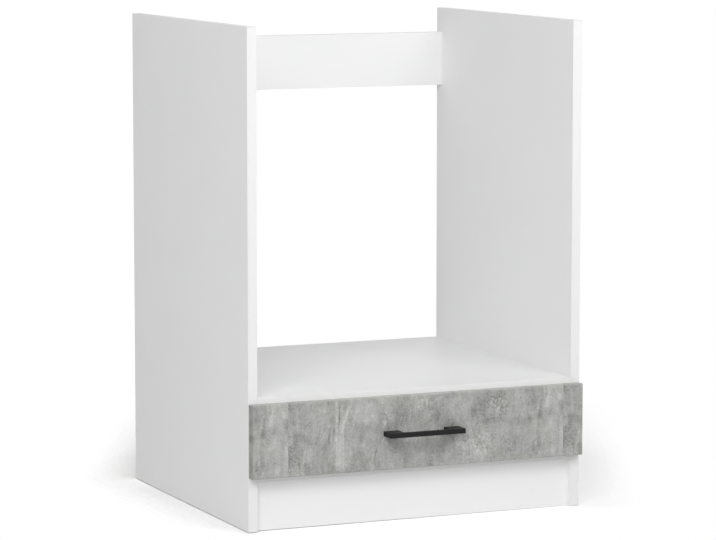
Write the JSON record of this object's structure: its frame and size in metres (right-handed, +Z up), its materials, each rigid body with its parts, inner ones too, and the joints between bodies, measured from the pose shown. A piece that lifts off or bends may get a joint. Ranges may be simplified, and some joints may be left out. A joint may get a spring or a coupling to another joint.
{
  "type": "oven base cabinet",
  "caption": "Kitchen base unit with an open oven niche above a low drawer on roller runners, with a recessed plinth and a bar handle.",
  "frame": {"origin": "on the floor, below the middle of the whole cabinet's box, handle included", "axes": "+Z up; -Y out of the drawer front, towards the user; +Y to the wall; +X to the user's right"},
  "size_m": [0.6, 0.5856, 0.821],
  "materials": {
    "white_board": "chipboard faced with matt white melamine, raw at the hidden edges",
    "white_edge_band": "thin matt white plastic band",
    "concrete_look_board": "fibreboard wrapped in matt concrete-look foil, rounded round the face",
    "white_fibreboard": "thin fibreboard, white on its upper face",
    "black_metal": "matt black powder coat",
    "white_coated_steel": "white epoxy coat, slight gloss",
    "nylon": "natural white nylon",
    "white_plastic": "moulded plastic",
    "zinc_alloy": "die-cast zinc, dull",
    "zinc_plated_steel": "zinc plated, bright",
    "beech": "plain beech, unfinished"
  },
  "bodies": {
    "carcass": {"side_panel_left": "white_board", "side_panel_right": "white_board", "bottom_panel": "white_board", "oven_shelf": "white_board", "rear_stretcher": "white_board", "plinth": "white_board", "side_front_edge_bands": "white_edge_band", "side_top_edge_bands": "white_edge_band", "board_front_edge_bands": "white_edge_band", "stretcher_edge_bands": "white_edge_band", "runner_channel_left": "white_coated_steel", "runner_channel_right": "white_coated_steel", "floor_glides": "white_plastic", "carcass_cam_locks": "zinc_alloy", "carcass_cam_bolts": "zinc_plated_steel", "glide_nails": "zinc_plated_steel", "front_roller_pins": "zinc_plated_steel", "channel_screws": "zinc_plated_steel", "carcass_dowels": "beech"},
    "drawer": {"drawer_front": "concrete_look_board", "drawer_side_left": "white_board", "drawer_side_right": "white_board", "drawer_back": "white_board", "drawer_bottom": "white_fibreboard", "drawer_side_edge_bands": "white_edge_band", "drawer_back_edge_band": "white_edge_band", "drawer_back_screws": "zinc_plated_steel", "drawer_bottom_screws": "zinc_plated_steel", "drawer_cam_bolts": "zinc_plated_steel", "drawer_cam_locks": "zinc_alloy", "drawer_dowels": "beech", "handle": "black_metal", "handle_screws": "zinc_plated_steel", "rail_screws": "zinc_plated_steel", "rear_roller_pins": "zinc_plated_steel", "runner_rail_left": "white_coated_steel", "runner_rail_right": "white_coated_steel"},
    "front_roller_left_wheel": {"front_roller_left": "nylon"},
    "front_roller_right_wheel": {"front_roller_right": "nylon"},
    "rear_roller_left_wheel": {"rear_roller_left": "nylon"},
    "rear_roller_right_wheel": {"rear_roller_right": "nylon"}
  },
  "joints": [
    {"name": "drawer_slide", "type": "slide", "parent": "carcass", "child": "drawer", "axis": [0, -1, 0], "range_m": [0, 0.375]},
    {"name": "front_roller_left_spin", "type": "hinge", "parent": "carcass", "child": "front_roller_left_wheel", "pos_m": [-0.2786, -0.23325, 0.1157], "axis": [1, 0, 0], "range_deg": [0, 2880]},
    {"name": "front_roller_right_spin", "type": "hinge", "parent": "carcass", "child": "front_roller_right_wheel", "pos_m": [0.2786, -0.23325, 0.1157], "axis": [1, 0, 0], "range_deg": [0, 2880]},
    {"name": "rear_roller_left_spin", "type": "hinge", "parent": "drawer", "child": "rear_roller_left_wheel", "pos_m": [-0.2769, 0.24025, 0.1163], "axis": [1, 0, 0], "range_deg": [0, 2700]},
    {"name": "rear_roller_right_spin", "type": "hinge", "parent": "drawer", "child": "rear_roller_right_wheel", "pos_m": [0.2769, 0.24025, 0.1163], "axis": [1, 0, 0], "range_deg": [0, 2700]}
  ],
  "couplings": [
    {"joint": "front_roller_left_spin", "follows": "drawer_slide", "rad_per_m": 133.33},
    {"joint": "front_roller_right_spin", "follows": "drawer_slide", "rad_per_m": 133.33},
    {"joint": "rear_roller_left_spin", "follows": "drawer_slide", "rad_per_m": 125},
    {"joint": "rear_roller_right_spin", "follows": "drawer_slide", "rad_per_m": 125}
  ]
}
